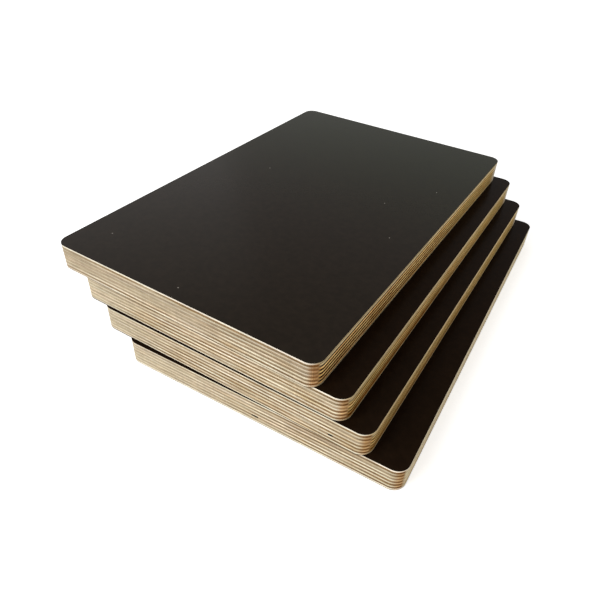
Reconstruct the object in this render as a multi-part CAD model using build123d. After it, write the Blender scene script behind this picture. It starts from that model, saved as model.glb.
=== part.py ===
from build123d import *
import os

# A staggered stack of film-faced plywood sheets, lying flat.
# Millimetres, +Z up. The origin is the middle of the bottom sheet's underside. The short
# edges of the bottom sheet run along X and its long edges along Y.

# Outline of every sheet
SHEET_WIDTH = 200.0
SHEET_LENGTH = 315.0
CORNER_RADIUS = 8.2

# Lay-up of every sheet: an odd number of veneers, each across the grain of the one below,
# between two pressed films. The grain of the outer veneers and of every second one runs
# across the sheet, from long edge to long edge, and that of the others runs along it.
VENEER_COUNT = 13
CROSSWISE_VENEER_THICKNESS = 1.36
LENGTHWISE_VENEER_THICKNESS = 1.36
FILM_THICKNESS = 0.21

# How each sheet lies on the one below it, from the bottom of the stack up: its shift along
# the width and along the length of the lower sheet, and its turn about +Z in degrees
STEPS = (
    (-17.9, 0.7, -1.39),
    (-14.8, 0.7, -0.37),
    (-16.3, -1.6, -0.54),
)

# Core gaps: where two strips of a lengthwise veneer lie apart, they leave a notch in it at the
# short edge towards -Y. Each has its sheet, its veneer, its place along the width from the
# middle of the sheet, as a share of the width, and how wide it is.
CORE_GAPS = (
    (1, 4, 0.016, 5.0),
    (2, 4, 0.383, 3.0),
    (3, 12, 0.174, 2.4),
)
CORE_GAP_DEPTH = 12.0


def lay_up():
    """The layers of one sheet from its underside up, as pairs of a name and a thickness."""
    layers = [("film_bottom", FILM_THICKNESS)]
    for number in range(1, VENEER_COUNT + 1):
        if number % 2:
            thickness = CROSSWISE_VENEER_THICKNESS
        else:
            thickness = LENGTHWISE_VENEER_THICKNESS
        layers.append((f"veneer_{number:02d}", thickness))
    layers.append(("film_top", FILM_THICKNESS))
    return layers


def sheet_thickness():
    """The thickness of one sheet with both of its films."""
    return sum(thickness for name, thickness in lay_up())


def sheet_places():
    """The place of each sheet's underside, from the bottom of the stack up."""
    places = [Location((0, 0, 0))]
    for shift_x, shift_y, turn in STEPS:
        step = Location((shift_x, shift_y, sheet_thickness()), (0, 0, turn))
        places.append(places[-1] * step)
    return places


def core_gaps(number, layer):
    """The core gaps in one layer of one sheet, as pairs of a place along X and a width."""
    gaps = []
    for sheet, veneer, share, width in CORE_GAPS:
        if sheet == number and layer == f"veneer_{veneer:02d}":
            gaps.append((share * SHEET_WIDTH, width))
    return gaps


def layer_solid(thickness, gaps):
    """One layer of a sheet: a flat panel with rounded corners, standing on z = 0, with its
    core gaps notched in at the edge towards -Y."""
    outline = RectangleRounded(SHEET_WIDTH, SHEET_LENGTH, CORNER_RADIUS)
    for along, width in gaps:
        notch = Rectangle(width, 2 * CORE_GAP_DEPTH)
        outline = outline - Pos(along, -SHEET_LENGTH / 2, 0) * notch
    return extrude(outline, amount=thickness)


def build_sheet(number, place):
    """The layers of one sheet at its place in the stack, as pairs of a name and a solid."""
    pieces = []
    height = 0.0
    for layer, thickness in lay_up():
        panel = layer_solid(thickness, core_gaps(number, layer))
        solid = place * Pos(0, 0, height) * panel
        pieces.append((f"sheet_{number}_{layer}", solid))
        height += thickness
    return pieces


def build_stack():
    """Every layer of every sheet, numbered from the bottom of the stack up."""
    pieces = []
    for number, place in enumerate(sheet_places(), start=1):
        pieces.extend(build_sheet(number, place))
    return pieces


os.makedirs("parts", exist_ok=True)
for name, solid in build_stack():
    export_step(solid, f"parts/{name}.step")
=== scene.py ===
"""A staggered stack of film-faced birch plywood sheets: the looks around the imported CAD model."""

import math

import bmesh
import bpy
from mathutils import Euler, Matrix, Vector


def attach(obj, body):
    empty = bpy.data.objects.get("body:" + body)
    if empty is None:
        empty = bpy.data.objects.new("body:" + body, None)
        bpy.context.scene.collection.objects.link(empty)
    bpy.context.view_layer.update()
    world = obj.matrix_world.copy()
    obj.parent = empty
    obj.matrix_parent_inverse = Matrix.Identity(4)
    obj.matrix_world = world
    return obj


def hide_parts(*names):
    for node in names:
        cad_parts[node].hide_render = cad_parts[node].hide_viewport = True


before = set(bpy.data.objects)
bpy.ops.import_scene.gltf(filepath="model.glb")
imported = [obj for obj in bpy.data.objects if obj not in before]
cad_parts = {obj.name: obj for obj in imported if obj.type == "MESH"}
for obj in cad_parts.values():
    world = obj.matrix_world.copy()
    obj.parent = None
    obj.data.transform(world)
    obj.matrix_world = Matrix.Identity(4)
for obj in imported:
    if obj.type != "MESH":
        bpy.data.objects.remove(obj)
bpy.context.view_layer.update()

bl_info = {
    "name": "Plywood stack",
    "version": (1, 0, 0),
    "blender": (4, 5, 0),
    "location": "3D View > Sidebar > Plywood",
    "description": "Models and finishes a stack of film-faced plywood sheets",
    "category": "Object",
}

MM = 0.001
# Two places closer than this are one
HAIR = 1e-6
SHEETS = 4

# How each sheet lies on the one below it: shift along the width, shift along the length, turn
STEPS = (
    (-17.9 * MM, 0.7 * MM, math.radians(-1.39)),
    (-14.8 * MM, 0.7 * MM, math.radians(-0.37)),
    (-16.3 * MM, -1.6 * MM, math.radians(-0.54)),
)

# Core gaps, where two strips of a lengthwise veneer lie apart at the short edge towards -Y:
# sheet, veneer, place along the width from the middle of the sheet, width
CORE_GAPS = (
    (1, 4, 3.2 * MM, 5.0 * MM),
    (2, 4, 76.6 * MM, 3.0 * MM),
    (3, 12, 34.8 * MM, 2.4 * MM),
)
CORE_GAP_DEPTH = 12.0 * MM

# Plates: the stretches that their sides are cut into, the segments of a veneer's and of a
# film's corner, how far a veneer stops short of the middle of its glue lines, and the widest
# angle that is shaded smooth
STRETCH = 6 * MM
VENEER_CORNER, FILM_CORNER = 12, 16
SEAM = 0.01 * MM
SMOOTH_ANGLE = math.radians(35)

# The map for the export's bake. The edge of a plate is cut into rows: their number, the share
# of the map's height that they take up and how far they are lifted, how much of a row's height
# is left under the edge and how much the edge fills, and where a row starts and how long it is
BAKE_ROWS, BAKE_EDGE, BAKE_LIFT = 16, 0.74, 0.004
BAKE_GAP, BAKE_FILL = 0.008, 0.936
BAKE_START, BAKE_RUN = 0.06, 0.88
# The two broad faces lie in its last strip: their margin, and the step and length of each
BAKE_MARGIN, BAKE_FACE_STEP, BAKE_FACE_RUN = 0.01, 0.49, 0.46

# Looks of each sheet, numbered from the bottom of the stack up: where the quiet left end of the
# short edge begins and how much of it shows, and how much painted shade darkens the foot of the
# long edge at the right
LEFT_END = {
    1: (60 * MM, 0.62),
    2: (-30 * MM, 0.65),
    3: (-30 * MM, 0.65),
    4: (-30 * MM, 0.45),
}
FOOT_SHADE = {1: 0.3, 2: 0.75, 3: 1.0, 4: 0.35}

# Kinds of shader node
MATH, VECTOR, MIX, RANGE = (
    "ShaderNodeMath", "ShaderNodeVectorMath", "ShaderNodeMix", "ShaderNodeMapRange"
)
NOISE, CHANCE, CELLS = "ShaderNodeTexNoise", "ShaderNodeTexWhiteNoise", "ShaderNodeTexVoronoi"
MAPPING, COORDINATES, SPLIT = (
    "ShaderNodeMapping", "ShaderNodeTexCoord", "ShaderNodeSeparateXYZ"
)
GEOMETRY, PATH, BUMP = "ShaderNodeNewGeometry", "ShaderNodeLightPath", "ShaderNodeBump"
PRINCIPLED, DIFFUSE, EMISSION, SUM = (
    "ShaderNodeBsdfPrincipled", "ShaderNodeBsdfDiffuse", "ShaderNodeEmission",
    "ShaderNodeAddShader",
)
BACKGROUND, WORLD_OUTPUT, MATERIAL_OUTPUT = (
    "ShaderNodeBackground", "ShaderNodeOutputWorld", "ShaderNodeOutputMaterial"
)
# Inputs of a mix: its share, its two values, and its two colours
SHARE, VALUE, OTHER_VALUE, COLOUR, OTHER = 0, 2, 3, 6, 7
# Settings of a mix of colours, and of a range with a soft start and end
COLOURS = {"data_type": "RGBA", "output": 2}
SMOOTH = {"interpolation_type": "SMOOTHSTEP"}

# The camera, fitted to the photograph
CAMERA_PLACE = (0.12900, -0.33711, 0.27083)
CAMERA_TURN = (math.radians(51.4906), math.radians(-2.2002), math.radians(30.3662))
CAMERA_LENS, CAMERA_SENSOR = 32.829, 36.0
CAMERA_NEAREST = 10 * MM

# The floor reaches out of sight, and lies just clear of the lowest film
FLOOR_SIZE = 60.0
FLOOR_HEIGHT = -0.02 * MM
# The soft lamps: name, property that holds the power, size and place. The first lights the
# short edges. The second is weak and stands behind the left, where the films mirror it
LAMPS = (
    ("Main lamp", "key", 0.9, (-0.55, -1.05, 0.75)),
    ("Second lamp", "fill", 1.4, (-1.5, 0.75, 0.75)),
)
LAMPS_AIM = Vector((0, 0, 30 * MM))
WHITE = (1, 1, 1)


def linear(hex_colour):
    """An sRGB hex colour as linear red, green and blue."""
    parts = [int(hex_colour[i : i + 2], 16) / 255 for i in (0, 2, 4)]
    return tuple(p / 12.92 if p <= 0.04045 else ((p + 0.055) / 1.055) ** 2.4 for p in parts)


def colour_property(name, description, hex_colour):
    """A colour that the user can change, given as sRGB hex."""
    return bpy.props.FloatVectorProperty(
        name=name, description=description, subtype="COLOR", size=3, min=0, max=1,
        default=linear(hex_colour),
    )


def length_property(name, description, millimetres):
    """A length that the user can change, given in millimetres."""
    return bpy.props.FloatProperty(
        name=name, description=description, unit="LENGTH", subtype="DISTANCE", min=0,
        precision=5, default=millimetres * MM,
    )


class PlywoodSizes(bpy.types.PropertyGroup):
    """Sizes of every sheet."""

    width: length_property("Sheet width", "Short side of every sheet", 200.0)
    length: length_property("Sheet length", "Long side of every sheet", 315.0)
    radius: length_property("Corner radius", "Radius of the upright corners", 8.2)
    veneers: bpy.props.IntProperty(
        name="Veneers", description="Number of veneers in a sheet, an odd number", default=13
    )
    veneer: length_property("Veneer thickness", "Thickness of one veneer", 1.36)
    film: length_property("Film thickness", "Thickness of one film", 0.21)
    glue_depth: length_property(
        "Glue line depth", "How far the sanded edge falls back at a glue line", 0.05
    )
    glue_height: length_property("Glue line height", "Height of the fall at each glue line", 0.09)
    unevenness: length_property("Edge unevenness", "How far the sanded edge wanders", 0.06)
    arris: length_property("Film arris", "How far the film's arris is eased", 0.05)


class PlywoodColours(bpy.types.PropertyGroup):
    """Colours of the wood and the film."""

    cross_side: colour_property("Side grain, crosswise", "Early wood along the veneer", "e9dec7")
    cross_streak: colour_property("Streaks, crosswise", "Darker fibres along the veneer", "c6af8a")
    # Crosswise end grain and lengthwise side grain show only on the long edge at the right, where
    # their deep colours are partly the grain and partly painted shade
    cross_end: colour_property("End grain, crosswise", "Cut fibres across the veneer", "301300")
    cross_pore: colour_property("Pores, crosswise", "Open pores across the veneer", "170600")
    long_side: colour_property("Side grain, lengthwise", "Early wood along the veneer", "fad28c")
    long_streak: colour_property("Streaks, lengthwise", "Darker fibres along the veneer", "c9964c")
    long_end: colour_property("End grain, lengthwise", "Cut fibres across the veneer", "93795a")
    long_pore: colour_property("Pores, lengthwise", "Open pores across the veneer", "6f5738")
    quiet_short: colour_property("Quiet short edge", "Wood sanded until it is even", "b4a38a")
    quiet_end: colour_property("Quiet left end", "Cream, even wood", "c3b59d")
    quiet_long: colour_property("Quiet long edge", "Olive wood of the lower sheets", "a48b4f")
    pale_long: colour_property("Pale long edge", "Sapwood of the bottom sheet", "f4e8c8")
    reddish: colour_property("Reddish long edge", "Heartwood in the top sheet", "b0703a")
    face: colour_property("Face veneer, short edge", "Clear wood under the film", "efe6d6")
    face_long: colour_property("Face veneer, long edge", "Clear wood under the film", "dcc59a")
    glue: colour_property("Glue line", "Cured resin between the veneers", "4a2c16")
    # The resin's colour also paints the shadow in the joints where two sheets lie flush
    resin: colour_property("Film resin", "Wood soaked with the film's resin", "120703")
    scorch: colour_property("Routed corner", "Tint of wood that the router burnt", "eecba2")
    # Painted shade at the foot of the long edge at the right
    foot_shade_tint: colour_property("Smoked long edge", "Tint of wood that the saw burnt", "b38e50")
    film: colour_property("Top film", "Phenolic film, a little worn", "1f1812")
    # The top film's greener hue at the back is a painted tint of the room's reflection
    film_back_reflection: colour_property("Top film, back", "The same film, greener at the back", "171804")
    # The lower films are darker than the top one: painted shade of the sheets above them
    shaded_lower_film: colour_property("Lower films", "Film that other sheets kept dark", "1b1109")
    dust: colour_property("Dust", "Specks of dust on the film", "9c968c")
    floor: colour_property("Floor", "Plain pale floor", "f2f1ef")


class PlywoodLight(bpy.types.PropertyGroup):
    """Strengths of the studio light."""

    sky: bpy.props.FloatProperty(
        name="Room light", description="Even light of the room", default=0.58
    )
    key: bpy.props.FloatProperty(
        name="Main lamp", description="Large soft lamp in front of the short side", unit="POWER",
        default=13.0,
    )
    fill: bpy.props.FloatProperty(
        name="Second lamp", description="Large soft lamp behind the left side", unit="POWER",
        default=3.5,
    )
    lift: bpy.props.FloatProperty(
        name="Floor lift", description="How far the camera sees the floor lifted to white",
        default=0.5,
    )


def add(tree, kind, inputs=(), output=0, **settings):
    """Adds a node with its settings and its inputs, which go in order, or by number or name,
    links the inputs that are sockets of other nodes, and returns one of its outputs."""
    made = tree.nodes.new(kind)
    for name, value in settings.items():
        setattr(made, name, value)
    for key, value in inputs.items() if isinstance(inputs, dict) else enumerate(inputs):
        socket = made.inputs[key]
        if isinstance(value, bpy.types.NodeSocket):
            tree.links.new(value, socket)
        elif socket.type == "RGBA":
            socket.default_value = (*value[:3], 1)
        else:
            socket.default_value = value
    return made.outputs[output] if made.outputs else made


def new_material(name):
    """An empty material and its node tree."""
    material = bpy.data.materials.new(name)
    material.use_nodes = True
    material.node_tree.nodes.clear()
    return material, material.node_tree


def in_sheet(tree, place):
    """Object coordinates turned into a sheet's own axes."""
    return add(
        tree, MAPPING,
        {
            "Vector": add(tree, COORDINATES, output="Object"),
            "Location": place.translation,
            "Rotation": place.to_euler(),
        },
        vector_type="TEXTURE",
    )


def sheet_thickness(sizes):
    """Thickness of a sheet with its two films."""
    return sizes.veneers * sizes.veneer + 2 * sizes.film


def sheet_places(sizes):
    """Where each sheet lies, from the bottom of the stack up."""
    places = [Matrix.Identity(4)]
    for shift_x, shift_y, turn in STEPS:
        step = Matrix.Translation((shift_x, shift_y, sheet_thickness(sizes)))
        places.append(places[-1] @ step @ Matrix.Rotation(turn, 4, "Z"))
    return places


def deselect():
    """Leaves edit mode and selects nothing."""
    if bpy.context.object and bpy.context.object.mode != "OBJECT":
        bpy.ops.object.mode_set(mode="OBJECT")
    bpy.ops.object.select_all(action="DESELECT")


def select_parts(obj, mode, wanted):
    """In edit mode, selects the vertices, edges or faces for which wanted is true."""
    bpy.ops.mesh.select_mode(type=mode)
    bpy.ops.mesh.select_all(action="DESELECT")
    mesh = bmesh.from_edit_mesh(obj.data)
    parts = {"VERT": mesh.verts, "EDGE": mesh.edges, "FACE": mesh.faces}[mode]
    for part in parts:
        if wanted(part):
            part.select_set(True)
    mesh.select_flush_mode()
    bmesh.update_edit_mesh(obj.data)


def is_upright(edge):
    """Whether an edge stands along Z."""
    a, b = (v.co for v in edge.verts)
    return (a - b).xy.length < HAIR


def new_plate(name, sizes, thickness, segments):
    """A plate with rounded upright corners, its underside at z = 0, with its sides cut into
    short stretches so that the edge can wander."""
    deselect()
    bpy.ops.mesh.primitive_cube_add(
        size=1, location=(0, 0, thickness / 2), scale=(sizes.width, sizes.length, thickness)
    )
    plate = bpy.context.object
    plate.name = plate.data.name = name
    bpy.ops.object.transform_apply(location=True, rotation=True, scale=True)
    bpy.ops.object.mode_set(mode="EDIT")
    select_parts(plate, "EDGE", is_upright)
    bpy.ops.mesh.bevel(
        offset=sizes.radius, segments=segments, affect="EDGES", clamp_overlap=False
    )
    for axis, side in enumerate((sizes.width, sizes.length)):
        straight = side - 2 * sizes.radius

        def runs_straight(edge, axis=axis, straight=straight):
            a, b = (v.co[axis] for v in edge.verts)
            return abs(abs(a - b) - straight) < HAIR

        select_parts(plate, "EDGE", runs_straight)
        bpy.ops.mesh.subdivide(number_cuts=round(straight / STRETCH) - 1)
    return plate


def cut_rings(heights):
    """In edit mode, cuts the walls of a plate at these heights."""
    for height in heights:
        bpy.ops.mesh.select_all(action="SELECT")
        bpy.ops.mesh.bisect(plane_co=(0, 0, height), plane_no=(0, 0, 1))


def draw_in(plate, sizes, heights, depth):
    """In edit mode, draws the outline in by this depth at these heights."""
    select_parts(plate, "VERT", lambda v: any(abs(v.co.z - h) < HAIR for h in heights))
    bpy.ops.transform.resize(
        value=(1 - 2 * depth / sizes.width, 1 - 2 * depth / sizes.length, 1)
    )


def copy_of(plate, name, place):
    """A copy of a plate with a mesh of its own, at this place."""
    made = plate.copy()
    made.data = plate.data.copy()
    made.name = made.data.name = name
    made.data.transform(place)
    bpy.context.scene.collection.objects.link(made)
    return made


def open_core_gap(piece, sizes, along, width):
    """Opens a core gap between the glue lines of a veneer that lies in a sheet's own axes."""
    deselect()
    bpy.context.view_layer.objects.active = piece
    piece.select_set(True)
    bpy.ops.object.mode_set(mode="EDIT")
    for side in (-1, 1):
        bpy.ops.mesh.select_all(action="SELECT")
        bpy.ops.mesh.bisect(plane_co=(along + side * width / 2, 0, 0), plane_no=(1, 0, 0))
    heights = [corner[2] for corner in piece.bound_box]
    low, high = min(heights) + sizes.glue_height / 2, max(heights) - sizes.glue_height / 2

    def inside(face):
        middle = face.calc_center_median()
        faces_front = face.normal.y < -0.7
        return faces_front and abs(middle.x - along) < width / 2 and low < middle.z < high

    select_parts(piece, "FACE", inside)
    bpy.ops.mesh.extrude_region_move(
        TRANSFORM_OT_translate={"value": (0, CORE_GAP_DEPTH, 0)}
    )
    bpy.ops.object.mode_set(mode="OBJECT")


def roughen(piece, sizes, texture):
    """Lets the middle of a veneer's edge wander, as sanding leaves it."""
    deselect()
    piece.select_set(True)
    bpy.context.view_layer.objects.active = piece
    wander = piece.modifiers.new("Sanded edge", "DISPLACE")
    wander.texture = texture
    wander.texture_coords = "LOCAL"
    wander.direction = "NORMAL"
    wander.strength = sizes.unevenness
    wander.mid_level = 1.0
    wander.vertex_group = "edge"
    bpy.ops.object.modifier_apply(modifier=wander.name)


def veneer_plate(sizes):
    """The plate that every veneer is copied from. Its edge falls back a little at both glue
    lines."""
    thickness = sizes.veneer - 2 * SEAM
    plate = new_plate("veneer_pattern", sizes, thickness, VENEER_CORNER)
    cut_rings((sizes.glue_height, thickness / 2, thickness - sizes.glue_height))
    draw_in(plate, sizes, (0, thickness), sizes.glue_depth)
    bpy.ops.object.mode_set(mode="OBJECT")
    edge = plate.vertex_groups.new(name="edge")
    between = [v.index for v in plate.data.vertices if HAIR < v.co.z < thickness - HAIR]
    edge.add(between, 1, "ADD")
    plate.data.transform(Matrix.Translation((0, 0, SEAM)))
    return plate


def run_round(point, sizes):
    """Distance round a sheet's outline, taken as square, from its corner at -X -Y."""
    half_width, half_length = sizes.width / 2, sizes.length / 2
    if half_length - abs(point.y) <= half_width - abs(point.x):
        if point.y < 0:
            return point.x + half_width
        return sizes.width + sizes.length + half_width - point.x
    if point.x > 0:
        return sizes.width + point.y + half_length
    return 2 * sizes.width + sizes.length + half_length - point.y


def lay_bake_map(piece, sizes, low, high, place):
    """Unrolls the edge of a plate in rows over most of a map for the export's bake, and puts
    the two broad faces in its last strip, because they lie hidden or are even in colour."""
    mesh = piece.data
    layer = mesh.uv_layers.new(name="OFBake")
    inverse = place.inverted()
    around = 2 * (sizes.width + sizes.length)
    row_length = around / BAKE_ROWS
    strip = 1 - BAKE_EDGE - 3 * BAKE_MARGIN
    for face in mesh.polygons:
        corners = [inverse @ mesh.vertices[i].co for i in face.vertices]
        middle = sum(corners, Vector()) / len(corners)
        lies_flat = abs(face.normal.z) > 0.9
        if lies_flat:
            side = 0 if face.normal.z > 0 else 1
            start = BAKE_MARGIN + BAKE_FACE_STEP * side
            for loop, corner in zip(face.loop_indices, corners):
                u = start + BAKE_FACE_RUN * (corner.y / sizes.length + 0.5)
                v = BAKE_EDGE + 2 * BAKE_MARGIN + strip * (corner.x / sizes.width + 0.5)
                layer.data[loop].uv = (u, v)
            continue
        begin = run_round(middle, sizes)
        row = min(int(begin / row_length), BAKE_ROWS - 1)
        for loop, corner in zip(face.loop_indices, corners):
            run = run_round(corner, sizes)
            if run - begin > around / 2:
                run -= around
            if begin - run > around / 2:
                run += around
            u = BAKE_START + BAKE_RUN * (run / row_length - row)
            up = BAKE_GAP + BAKE_FILL * (corner.z - low) / (high - low)
            v = BAKE_LIFT + BAKE_EDGE * (row + up) / BAKE_ROWS
            layer.data[loop].uv = (u, v)


def finish_piece(piece, material, node_name):
    """Gives a piece its material, hangs it under the root body and hides the CAD node that it
    stands for.
    """
    piece.data.materials.clear()
    piece.data.materials.append(material)
    deselect()
    piece.select_set(True)
    bpy.context.view_layer.objects.active = piece
    bpy.ops.object.shade_smooth_by_angle(angle=SMOOTH_ANGLE)
    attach(piece, "root")
    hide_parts(node_name)


class Wood:
    """The wood of one direction in one sheet: where a point of it lies, and its patterns there."""

    def __init__(self, tree, sheet, place, sizes, crosswise):
        self.sheet, self.crosswise = sheet, crosswise
        self.topmost = sheet == SHEETS
        local = in_sheet(tree, place)
        self.across_sheet, self.along_sheet, self.height = (
            add(tree, SPLIT, [local], axis) for axis in ("X", "Y", "Z")
        )
        level = add(tree, MATH, (self.height, sizes.film), operation="SUBTRACT")
        level = add(tree, MATH, (level, sizes.veneer), operation="DIVIDE")
        self.ply = add(tree, MATH, [level], operation="FLOOR")
        self.within = add(tree, MATH, [level], operation="FRACT")

        # How far the edge has turned from a short side, 0, to a long one, 1, and whether it is
        # at the right and at the front
        normal = add(tree, GEOMETRY, output="Normal")
        width_axis = place.to_3x3() @ Vector((1, 0, 0))
        turn = add(tree, VECTOR, (normal, width_axis), "Value", operation="DOT_PRODUCT")
        self.turn = add(tree, MATH, [turn], operation="ABSOLUTE")
        self.on_long = add(tree, RANGE, (self.turn, 0.82, 0.95), **SMOOTH)
        self.right = add(tree, MATH, (self.across_sheet, 0.0), operation="GREATER_THAN")
        self.front = add(tree, MATH, (self.along_sheet, 0.0), operation="LESS_THAN")

        # Each veneer comes from another stretch of the log, up to 0.9 m away, and has a tone of
        # its own, both drawn by a number that no other veneer has
        draw = add(tree, MATH, (self.ply, 19.7 * sheet + 0.37), operation="ADD")
        chance = add(tree, CHANCE, {"W": draw}, "Color", noise_dimensions="1D")
        self.tone = add(tree, SPLIT, [chance], "Z")
        log = add(tree, VECTOR, (chance, (0.9, 0.9, 0.0)), operation="MULTIPLY")
        wood = add(tree, VECTOR, (local, log), operation="ADD")

        # Noises as long, wide and thick as these millimetres, along and across the grain and
        # through the veneer, with their detail
        for name, origin, along, across, through, detail in (
            # Fibres are 0.02 mm wide; bundles of them, drawn up to 0.9 mm thick and 25 mm long
            # so that they show, break up into finer ones
            ("streaks", wood, 25, 3, 0.9, 4.0),
            # Pores are 0.06 mm wide; drawn 0.45 mm wide so that they show
            ("pores", wood, 9, 0.45, 0.4, 2.0),
            # Growth rings, cut almost flat by the peeling knife, show as lines some 6 mm long
            ("rings", wood, 9, 6, 0.3, 2.0),
            # Early and late wood lie in patches some 14 mm long on the edge
            ("patches", wood, 30, 14, 4, 2.0),
            # The edge of each patch is frayed at 5 mm
            ("frayed", wood, 5, 5, 1.5, 1.0),
            # Heartwood and sapwood change over some 60 mm of a veneer
            ("heart", wood, 60, 60, 8, 1.0),
            # The saw crossed all veneers alike, and left upright marks some 1.2 mm apart
            ("marks", local, 1.2, 1.2, 30, 2.0),
            # Stretches some 35 mm long were sanded until the veneers hardly differ
            ("stretches", local, 40, 35, 4, 1.0),
            # Glue lines are darker and lighter over some 20 mm
            ("starved", local, 20, 20, 1.0, 2.0),
        ):
            x, y = (along, across) if crosswise else (across, along)
            scale = tuple(1 / (size * MM) for size in (x, y, through))
            scaled = add(tree, VECTOR, (origin, scale), operation="MULTIPLY")
            noise = add(tree, NOISE, {"Vector": scaled, "Scale": 1.0, "Detail": detail})
            setattr(self, name, noise)

        # How much of the side grain is streak, and how much of the end grain is pore
        self.streaky = add(tree, RANGE, (self.streaks, 0.38, 0.66))
        porous = {SHARE: 0.5, VALUE: self.pores, OTHER_VALUE: self.rings}
        self.porous = add(tree, RANGE, (add(tree, MIX, porous), 0.38, 0.62))


def short_edge_colour(tree, wood, colours, colour):
    """The wood of a short edge, with quiet stretches and a quiet left end."""
    quiet = add(tree, RANGE, (wood.stretches, 0.48, 0.66, 0.0, 0.55), **SMOOTH)
    end_wood = colours.quiet_end
    if wood.topmost:
        end_wood = colours.quiet_short
        # The top sheet has one long quiet stretch in its middle veneers
        calm = add(tree, RANGE, (wood.across_sheet, 52 * MM, 10 * MM, 0.3, 0.75), **SMOOTH)
        inner = add(tree, MATH, (wood.ply, 6.0, 3.2), operation="COMPARE")
        calm = add(tree, MATH, (calm, inner), operation="MULTIPLY")
        quiet = add(tree, MATH, (quiet, calm), operation="MAXIMUM")
    begin, most = LEFT_END[wood.sheet]
    left_end = add(tree, RANGE, (wood.across_sheet, begin, -90 * MM, 0.0, most), **SMOOTH)
    for share, other in ((quiet, colours.quiet_short), (left_end, end_wood)):
        colour = add(tree, MIX, {SHARE: share, COLOUR: colour, OTHER: other}, **COLOURS)
    return colour


def shaded_edge_colour(tree, wood, colours, colour):
    """The wood of the long edge at the right, in painted shade: its colours are deeper and darker
    than at the left, with painted light near the top and more painted shade near the foot.
    """
    # It is olive towards the back and in places on the lower sheets, reddish in patches, and
    # paler in its upper veneers, painted light, most where the top sheet's lengthwise veneers stand
    # out
    olive = add(tree, RANGE, (wood.along_sheet, -50 * MM, 120 * MM, 0.0, 0.65), **SMOOTH)
    if wood.topmost and wood.crosswise:
        redness, paleness, at_front, at_back = 0.0, 0.2, 0.85, 1.15
    elif wood.topmost:
        redness, paleness, at_front, at_back = 0.5, 0.85, 1.15, 1.45
    else:
        redness, paleness, at_front, at_back = 0.35, 0.65, 1.0, 1.2
        spread = add(tree, RANGE, (wood.stretches, 0.35, 0.60, 0.42, 0.15), **SMOOTH)
        olive = add(tree, MATH, (olive, spread), operation="MAXIMUM")
    if wood.topmost:
        red = add(tree, RANGE, (wood.frayed, 0.45, 0.65, 0.0, redness), **SMOOTH)
    else:
        red = add(tree, RANGE, (wood.patches, 0.50, 0.70, 0.0, redness), **SMOOTH)
    upper = add(tree, RANGE, (wood.height, 12.5 * MM, 16.2 * MM, 0.0, paleness), **SMOOTH)
    for share, other in (
        (olive, colours.quiet_long), (red, colours.reddish), (upper, colours.face_long)
    ):
        colour = add(tree, MIX, {SHARE: share, COLOUR: colour, OTHER: other}, **COLOURS)

    # It fades from the front to the back, and most in the last few millimetres
    faded = add(tree, RANGE, (wood.along_sheet, -150 * MM, 80 * MM, at_front, at_back), **SMOOTH)
    colour = add(tree, VECTOR, {"Vector": colour, "Scale": faded}, operation="SCALE")
    last = add(tree, RANGE, (wood.along_sheet, 139 * MM, 147 * MM, 0.0, 0.6), **SMOOTH)
    colour = add(tree, MIX, {SHARE: last, COLOUR: colour, OTHER: colours.face}, **COLOURS)
    if wood.sheet == 1:
        # The bottom sheet is paler there
        colour = add(tree, MIX, {SHARE: 0.55, COLOUR: colour, OTHER: colours.pale_long}, **COLOURS)

    # Its lower veneers are darker and browner, more so towards the front: painted shade at the foot
    # of the edge
    most = FOOT_SHADE[wood.sheet]
    foot_shade = add(tree, RANGE, (wood.height, 8.5 * MM, 3.5 * MM, 0.0, most), **SMOOTH)
    thinner = add(tree, RANGE, (wood.along_sheet, -60 * MM, 60 * MM, 1.0, 0.25), **SMOOTH)
    foot_shade = add(tree, MATH, (foot_shade, thinner), operation="MULTIPLY")
    tint = {SHARE: foot_shade, COLOUR: colour, OTHER: colours.foot_shade_tint}
    colour = add(tree, MIX, tint, blend_type="MULTIPLY", **COLOURS)
    if wood.topmost:
        # One veneer of the top sheet is paler than the others
        lighter = add(tree, MATH, (wood.ply, 9.0, 0.5), operation="COMPARE")
        lighter = add(tree, RANGE, (lighter, 0.0, 1.0, 1.0, 1.4))
        colour = add(tree, VECTOR, {"Vector": colour, "Scale": lighter}, operation="SCALE")
    return colour


def corner_colour(tree, wood, colours, short_edge, long_edge):
    """The wood all round the edge. The router burnt the corner at the front right, and the
    colours of the short edge turn brown there before those of the long edge begin."""
    browned = add(tree, RANGE, (wood.turn, 0.2, 0.7), **SMOOTH)
    for side in (wood.right, wood.front):
        browned = add(tree, MATH, (browned, side), operation="MULTIPLY")
    tint = {SHARE: browned, COLOUR: short_edge, OTHER: colours.scorch}
    colour = add(tree, MIX, tint, blend_type="MULTIPLY", **COLOURS)
    if wood.topmost:
        even = add(tree, MATH, (browned, 0.2), operation="MULTIPLY")
        colour = add(tree, MIX, {SHARE: even, COLOUR: colour, OTHER: colours.reddish}, **COLOURS)
    colour = add(tree, MIX, {SHARE: wood.on_long, COLOUR: colour, OTHER: long_edge}, **COLOURS)
    if wood.topmost:
        # The router stopped there twice, and left two darker lines down the corner
        for stop in (0.53, 0.65):
            line = add(tree, MATH, (wood.turn, stop, 0.015), operation="COMPARE")
            for factor in (browned, 0.35):
                line = add(tree, MATH, (line, factor), operation="MULTIPLY")
            colour = add(tree, MIX, {SHARE: line, COLOUR: colour, OTHER: colours.glue}, **COLOURS)
    return colour


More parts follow.
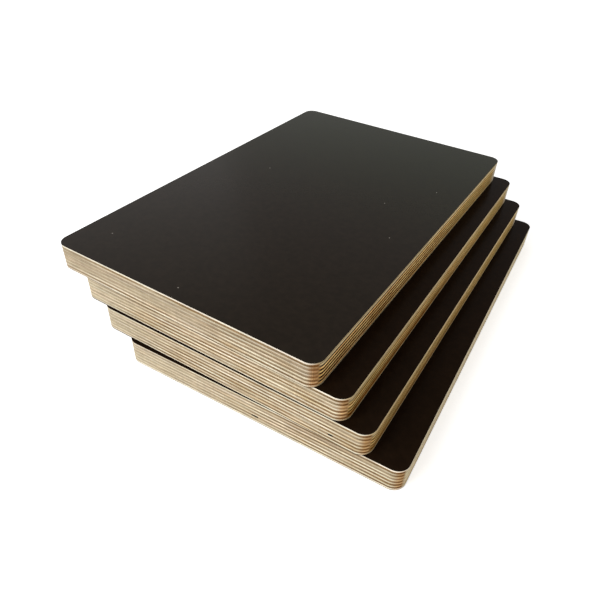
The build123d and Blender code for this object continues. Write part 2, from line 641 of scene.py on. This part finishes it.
def clear_outer_veneers(tree, wood, sizes, colours, colour):
    """The outer veneers are clear wood and were sanded before the film went on. The upper one
    is palest in a band under the film, partly clear wood and partly a painted highlight along the
    arris, most where no other sheet covers it."""
    to_long = add(tree, RANGE, (wood.turn, 0.4, 0.95), **SMOOTH)
    clear = colours.face
    if wood.sheet > 1:
        clear = add(tree, MIX, {SHARE: to_long, COLOUR: clear, OTHER: colours.face_long}, **COLOURS)
    top = sheet_thickness(sizes) - sizes.film
    # Painted highlight along the arris: the top band of the upper veneer is paler
    clear_wood_and_highlight = add(tree, RANGE, (wood.height, top - 1.2 * MM, top - 0.8 * MM), **SMOOTH)
    if not wood.topmost:
        uncovered = add(tree, RANGE, (wood.across_sheet, 78 * MM, 86 * MM, 0.3, 1.0), **SMOOTH)
        clear_wood_and_highlight = add(tree, MATH, (clear_wood_and_highlight, uncovered), operation="MULTIPLY")
    for number, on_short, on_long, shown in (
        (1, 0.5 if wood.sheet == 1 else 0.15, 0.55, 1.0), (sizes.veneers, 0.85, 0.75, clear_wood_and_highlight),
    ):
        outer = add(tree, MATH, (wood.ply, number - 1.0, 0.5), operation="COMPARE")
        share = add(tree, RANGE, (to_long, 0.0, 1.0, on_short, on_long))
        for factor in (share, shown):
            outer = add(tree, MATH, (outer, factor), operation="MULTIPLY")
        colour = add(tree, MIX, {SHARE: outer, COLOUR: colour, OTHER: clear}, **COLOURS)
    return colour


def tone_wood(tree, wood, colour):
    """The tone of each veneer, of its patches and of the saw marks. The top sheet is darker, and
    the two in the middle grow paler to the right. Heartwood is a little pinker than sapwood."""
    tone = add(tree, RANGE, (wood.tone, 0.0, 1.0, 0.90, 1.10))
    shade = 0.92 if wood.topmost else 1.0
    if 1 < wood.sheet < SHEETS:
        shade = add(tree, RANGE, (wood.across_sheet, -10 * MM, 60 * MM, 1.0, 1.07), **SMOOTH)
    tone = add(tree, MATH, (tone, shade), operation="MULTIPLY")
    for pattern, least, most in (
        (wood.patches, 0.86, 1.12), (wood.frayed, 0.91, 1.09), (wood.marks, 0.95, 1.05),
    ):
        swing = add(tree, RANGE, (pattern, 0.3, 0.7, least, most))
        tone = add(tree, MATH, (tone, swing), operation="MULTIPLY")
    colour = add(tree, VECTOR, {"Vector": colour, "Scale": tone}, operation="SCALE")
    heart = add(tree, RANGE, (wood.heart, 0.35, 0.65), **SMOOTH)
    tint = {SHARE: heart, COLOUR: (0.985, 1.01, 0.98), OTHER: (1.0, 0.99, 0.99)}
    return add(tree, VECTOR, (colour, add(tree, MIX, tint, **COLOURS)), operation="MULTIPLY")


def glue_lines_and_joint_shadow(tree, wood, sizes, colours, colour):
    """The resin that shows at the edge of the wood, and painted shadow in the joints between
    sheets.
    """
    # Glue lines are 0.05 mm thick; drawn 0.1 mm thick on each veneer so that they show. The
    # resin soaks in more at some places than at others
    to_glue = add(tree, MATH, (wood.within, 0.5), operation="SUBTRACT")
    to_glue = add(tree, MATH, [to_glue], operation="ABSOLUTE")
    soaked = add(tree, RANGE, (wood.starved, 0.35, 0.65, 0.1, 0.95), **SMOOTH)
    glued = add(tree, RANGE, (to_glue, 0.40, 0.47, 0.0, soaked), **SMOOTH)
    colour = add(tree, MIX, {SHARE: glued, COLOUR: colour, OTHER: colours.glue}, **COLOURS)
    # Painted shadow, in the resin's colour, darkens 0.2 to 0.5 mm of the outermost wood where two
    # sheets lie flush: under sheets 2 and 3 and at the top of sheets 1 and 2, less towards the
    # right
    top = sheet_thickness(sizes) - sizes.film
    for flush, inner, outer in (
        ((2, 3), sizes.film + 0.50 * MM, sizes.film + 0.40 * MM),
        ((1, 2), top - 0.30 * MM, top - 0.20 * MM),
    ):
        if wood.sheet in flush:
            joint_shadow = add(tree, RANGE, (wood.height, inner, outer), **SMOOTH)
            fainter = add(tree, RANGE, (wood.across_sheet, 30 * MM, 90 * MM, 1.0, 0.5), **SMOOTH)
            joint_shadow = add(tree, MATH, (joint_shadow, fainter), operation="MULTIPLY")
            colour = add(tree, MIX, {SHARE: joint_shadow, COLOUR: colour, OTHER: colours.resin}, **COLOURS)
    return colour


def veneer_material(sheet, place, sizes, colours, crosswise):
    """Peeled birch veneer, seen at the sawn and sanded edge of a sheet. Where the edge runs
    with the grain it shows pale, silky fibres in long streaks; where it crosses the grain it
    shows cut pores, which swallow light and look dark brown."""
    name = "crosswise" if crosswise else "lengthwise"
    material, tree = new_material(f"Birch veneer, {name}, sheet {sheet}")
    wood = Wood(tree, sheet, place, sizes, crosswise)

    # Pale side grain and cut end grain, one on the short edges and the other on the long edge
    # at the left
    side = {SHARE: wood.streaky, COLOUR: colours.cross_side, OTHER: colours.cross_streak}
    side = add(tree, MIX, side, **COLOURS)
    end = {SHARE: wood.porous, COLOUR: colours.long_end, OTHER: colours.long_pore}
    end = add(tree, MIX, end, **COLOURS)
    short_edge, fresh = (side, end) if crosswise else (end, side)
    # The long edge at the right has yellower side grain and darker end grain than the left one:
    # painted shade of the side that faces away from the main lamp
    if crosswise:
        darkened = {SHARE: wood.porous, COLOUR: colours.cross_end, OTHER: colours.cross_pore}
    else:
        darkened = {SHARE: wood.streaky, COLOUR: colours.long_side, OTHER: colours.long_streak}
    darkened = add(tree, MIX, darkened, **COLOURS)

    short_edge = short_edge_colour(tree, wood, colours, short_edge)
    darkened = shaded_edge_colour(tree, wood, colours, darkened)
    long_edge = add(tree, MIX, {SHARE: wood.right, COLOUR: fresh, OTHER: darkened}, **COLOURS)
    colour = corner_colour(tree, wood, colours, short_edge, long_edge)
    colour = clear_outer_veneers(tree, wood, sizes, colours, colour)
    colour = tone_wood(tree, wood, colour)
    colour = glue_lines_and_joint_shadow(tree, wood, sizes, colours, colour)

    # Streaks are silky, and cut ends are dull and hardly shine
    cut_ends = wood.on_long
    if not crosswise:
        cut_ends = add(tree, MATH, (1.0, wood.on_long), operation="SUBTRACT")
    rough = add(tree, RANGE, (cut_ends, 0.0, 1.0, 0.58, 0.82))
    rough = add(tree, MATH, (wood.streaks, 0.12, rough), operation="MULTIPLY_ADD")
    shine = add(tree, RANGE, (cut_ends, 0.0, 1.0, 0.2 if crosswise else 0.08, 0.05))
    relief = add(tree, MIX, {SHARE: cut_ends, VALUE: wood.streaks, OTHER_VALUE: wood.pores})
    relief = add(tree, MIX, {SHARE: 0.4, VALUE: relief, OTHER_VALUE: wood.marks})
    bump = add(tree, BUMP, {"Height": relief, "Strength": 0.4, "Distance": 0.08 * MM})
    shader = add(
        tree, PRINCIPLED,
        {
            "Base Color": colour, "Roughness": rough, "Normal": bump, "IOR": 1.45,
            "Specular IOR Level": shine,
        },
    )
    add(tree, MATERIAL_OUTPUT, {"Surface": shader})
    return material


def film_material(sheet, place, colours):
    """Phenolic film, hot-pressed paper soaked in dark resin. It looks like satin plastic:
    nearly black, with a soft even sheen, faint mottling from the paper and specks of dust."""
    material, tree = new_material(f"Phenolic film, pressed, sheet {sheet}")
    local = in_sheet(tree, place)
    # Paper fibres clot in patches some 4 mm wide
    mottle = add(tree, NOISE, {"Vector": local, "Scale": 1 / (4 * MM), "Detail": 4.0})
    mottle = add(tree, RANGE, (mottle, 0.35, 0.70, 0.85, 1.15))
    film, back = colours.film, colours.film_back_reflection
    # The lower films are darker: painted shade of the sheets above them
    if sheet < SHEETS:
        film = back = colours.shaded_lower_film
    # The top film turns greener towards the back: a painted tint of reflected light
    towards_back = add(tree, SPLIT, [local], "Y")
    towards_back = add(tree, RANGE, (towards_back, -60 * MM, 150 * MM), **SMOOTH)
    colour = add(tree, MIX, {SHARE: towards_back, COLOUR: film, OTHER: back}, **COLOURS)
    colour = add(tree, VECTOR, {"Vector": colour, "Scale": mottle}, operation="SCALE")

    # Dust: specks up to 0.9 mm wide, in one cell of twelve, each cell some 26 mm wide
    cells = {"Vector": local, "Scale": 1 / (26 * MM)}
    distance = add(tree, CELLS, cells, "Distance", voronoi_dimensions="2D")
    draw = add(tree, CELLS, cells, "Color", voronoi_dimensions="2D")
    draw = add(tree, SPLIT, [draw], "X")
    dusty = add(tree, MATH, (draw, 0.92), operation="GREATER_THAN")
    near = add(tree, RANGE, (distance, 0.010, 0.018, 1.0, 0.0))
    dusty = add(tree, MATH, (dusty, near), operation="MULTIPLY")
    colour = add(tree, MIX, {SHARE: dusty, COLOUR: colour, OTHER: colours.dust}, **COLOURS)

    # The sawn edge of the film and its arris are matt and black
    flat = add(tree, SPLIT, [add(tree, GEOMETRY, output="Normal")], "Z")
    flat = add(tree, MATH, [flat], operation="ABSOLUTE")
    flat = add(tree, RANGE, (flat, 0.90, 0.99))
    colour = add(tree, MIX, {SHARE: flat, COLOUR: colours.resin, OTHER: colour}, **COLOURS)
    shine = add(tree, MATH, (flat, 0.5), operation="MULTIPLY")

    # The press leaves the sheen a little uneven over some 45 mm
    sheen = add(tree, NOISE, {"Vector": local, "Scale": 1 / (45 * MM), "Detail": 3.0})
    rough = add(tree, RANGE, (sheen, 0.3, 0.7, 0.21, 0.24))
    # Orange peel of the press plate, 1.2 mm wide
    peel = add(tree, NOISE, {"Vector": local, "Scale": 1 / (1.2 * MM), "Detail": 2.0})
    bump = add(tree, BUMP, {"Height": peel, "Strength": 0.15, "Distance": 0.02 * MM})
    # The IOR is lower than the resin's own, because the white room would show too brightly in
    # the film, and lowest on the films that lie in the shade of another sheet
    shader = add(
        tree, PRINCIPLED,
        {
            "Base Color": colour, "Roughness": rough, "Normal": bump,
            "IOR": 1.125 if sheet == SHEETS else 1.06, "Specular IOR Level": shine,
            "Specular Tint": (0.97, 0.97, 0.84),
        },
    )
    add(tree, MATERIAL_OUTPUT, {"Surface": shader})
    return material


def add_veneers(crosswise):
    """Models the veneers of one direction in every sheet."""
    scene = bpy.context.scene
    sizes, colours = scene.plywood_sizes, scene.plywood_colours
    pattern = veneer_plate(sizes)
    # Sanding leaves the edge uneven over some 4 mm
    texture = bpy.data.textures.new("Sanding marks", "CLOUDS")
    texture.noise_scale = 4 * MM
    for sheet, place in enumerate(sheet_places(sizes), 1):
        material = veneer_material(sheet, place, sizes, colours, crosswise)
        for number in range(1 if crosswise else 2, sizes.veneers + 1, 2):
            low = sizes.film + (number - 1) * sizes.veneer
            name = f"sheet_{sheet}_veneer_{number:02d}"
            piece = copy_of(pattern, f"{name}.edge", Matrix.Translation((0, 0, low)))
            for gap_sheet, gap_veneer, along, width in CORE_GAPS:
                if (gap_sheet, gap_veneer) == (sheet, number):
                    open_core_gap(piece, sizes, along, width)
            piece.data.transform(place)
            roughen(piece, sizes, texture)
            lay_bake_map(piece, sizes, low, low + sizes.veneer, place)
            finish_piece(piece, material, name)
    bpy.data.objects.remove(pattern)


class PLYWOOD_OT_crosswise(bpy.types.Operator):
    """Model the crosswise veneers of every sheet"""

    bl_idname = "plywood.crosswise_veneers"
    bl_label = "Crosswise veneers"

    def execute(self, context):
        add_veneers(True)
        return {"FINISHED"}


class PLYWOOD_OT_lengthwise(bpy.types.Operator):
    """Model the lengthwise veneers of every sheet"""

    bl_idname = "plywood.lengthwise_veneers"
    bl_label = "Lengthwise veneers"

    def execute(self, context):
        add_veneers(False)
        return {"FINISHED"}


class PLYWOOD_OT_films(bpy.types.Operator):
    """Model the two films of every sheet"""

    bl_idname = "plywood.films"
    bl_label = "Films"

    def execute(self, context):
        sizes, colours = context.scene.plywood_sizes, context.scene.plywood_colours
        pattern = new_plate("film_pattern", sizes, sizes.film, FILM_CORNER)
        cut_rings((sizes.film - sizes.arris,))
        draw_in(pattern, sizes, (sizes.film,), sizes.arris)
        bpy.ops.object.mode_set(mode="OBJECT")
        over = Matrix.Rotation(math.pi, 4, "Y")
        for sheet, place in enumerate(sheet_places(sizes), 1):
            material = film_material(sheet, place, colours)
            top = Matrix.Translation((0, 0, sheet_thickness(sizes) - sizes.film))
            bottom = Matrix.Translation((0, 0, sizes.film)) @ over
            for side, lies in (("top", top), ("bottom", bottom)):
                name = f"sheet_{sheet}_film_{side}"
                piece = copy_of(pattern, f"{name}.pressed", place @ lies)
                finish_piece(piece, material, name)
        bpy.data.objects.remove(pattern)
        return {"FINISHED"}


def lay_floor(light, colours):
    """A plain floor of matt paint, which the camera sees lifted to white outside the shadow."""
    deselect()
    bpy.ops.mesh.primitive_plane_add(size=FLOOR_SIZE, location=(0, 0, FLOOR_HEIGHT))
    floor = bpy.context.object
    floor.name = "floor"
    material, tree = new_material("Matt floor paint")
    matt = add(tree, DIFFUSE, {"Color": colours.floor})
    seen = 0.0
    for ray in ("Is Camera Ray", "Is Glossy Ray"):
        seen = add(tree, MATH, (seen, add(tree, PATH, output=ray)), operation="MAXIMUM")
    lift = add(tree, MATH, (seen, light.lift), operation="MULTIPLY")
    glow = add(tree, EMISSION, {"Color": WHITE, "Strength": lift})
    add(tree, MATERIAL_OUTPUT, {"Surface": add(tree, SUM, (matt, glow))})
    floor.data.materials.append(material)


def light_room(scene, light):
    """An even room, which the camera and anything glossy or clear sees as white."""
    scene.world = bpy.data.worlds.new("Studio")
    scene.world.use_nodes = True
    tree = scene.world.node_tree
    tree.nodes.clear()
    seen = 0.0
    for ray in ("Is Camera Ray", "Is Glossy Ray", "Is Transmission Ray"):
        seen = add(tree, MATH, (seen, add(tree, PATH, output=ray)), operation="MAXIMUM")
    strength = add(tree, RANGE, {"Value": seen, "To Min": light.sky, "To Max": 1.0})
    room = add(tree, BACKGROUND, {"Color": WHITE, "Strength": strength})
    add(tree, WORLD_OUTPUT, {"Surface": room})


def hang_lamps(scene, light):
    """The soft lamps, turned towards the stack."""
    for name, power, size, place in LAMPS:
        lamp = bpy.data.lights.new(name, "AREA")
        lamp.shape = "SQUARE"
        lamp.size = size
        lamp.energy = getattr(light, power)
        holder = bpy.data.objects.new(name, lamp)
        scene.collection.objects.link(holder)
        towards = (LAMPS_AIM - Vector(place)).to_track_quat("-Z", "Y")
        holder.matrix_world = Matrix.Translation(place) @ towards.to_matrix().to_4x4()


def place_camera(scene):
    """The camera, where the photographer's stood."""
    lens = bpy.data.cameras.new("Camera")
    lens.lens = CAMERA_LENS
    lens.sensor_width = CAMERA_SENSOR
    lens.clip_start = CAMERA_NEAREST
    camera = bpy.data.objects.new("Camera", lens)
    scene.collection.objects.link(camera)
    turn = Euler(CAMERA_TURN).to_matrix().to_4x4()
    camera.matrix_world = Matrix.Translation(CAMERA_PLACE) @ turn
    scene.camera = camera


class PLYWOOD_OT_stage(bpy.types.Operator):
    """Set the floor, the light and the camera"""

    bl_idname = "plywood.stage"
    bl_label = "Stage"

    def execute(self, context):
        scene = context.scene
        lay_floor(scene.plywood_light, scene.plywood_colours)
        light_room(scene, scene.plywood_light)
        hang_lamps(scene, scene.plywood_light)
        place_camera(scene)
        scene.view_settings.view_transform = "Standard"
        return {"FINISHED"}


class PLYWOOD_PT_panel(bpy.types.Panel):
    """Lists the steps that build the stack"""

    bl_idname = "PLYWOOD_PT_panel"
    bl_label = "Plywood stack"
    bl_space_type = "VIEW_3D"
    bl_region_type = "UI"
    bl_category = "Plywood"

    def draw(self, context):
        layout = self.layout
        for operator in OPERATORS:
            layout.operator(operator.bl_idname)
        for name, group in GROUPS.items():
            box = layout.box()
            for entry in group.__annotations__:
                box.prop(getattr(context.scene, name), entry)


OPERATORS = (PLYWOOD_OT_films, PLYWOOD_OT_crosswise, PLYWOOD_OT_lengthwise, PLYWOOD_OT_stage)
GROUPS = {
    "plywood_sizes": PlywoodSizes,
    "plywood_colours": PlywoodColours,
    "plywood_light": PlywoodLight,
}


def register():
    for group in GROUPS.values():
        bpy.utils.register_class(group)
    for operator in OPERATORS:
        bpy.utils.register_class(operator)
    bpy.utils.register_class(PLYWOOD_PT_panel)
    for name, group in GROUPS.items():
        setattr(bpy.types.Scene, name, bpy.props.PointerProperty(type=group))


def unregister():
    for name in GROUPS:
        delattr(bpy.types.Scene, name)
    bpy.utils.unregister_class(PLYWOOD_PT_panel)
    for cls in (*OPERATORS, *GROUPS.values()):
        bpy.utils.unregister_class(cls)


def main():
    register()
    bpy.ops.plywood.films()
    bpy.ops.plywood.crosswise_veneers()
    bpy.ops.plywood.lengthwise_veneers()
    bpy.ops.plywood.stage()
    deselect()


if __name__ == "__main__":
    main()
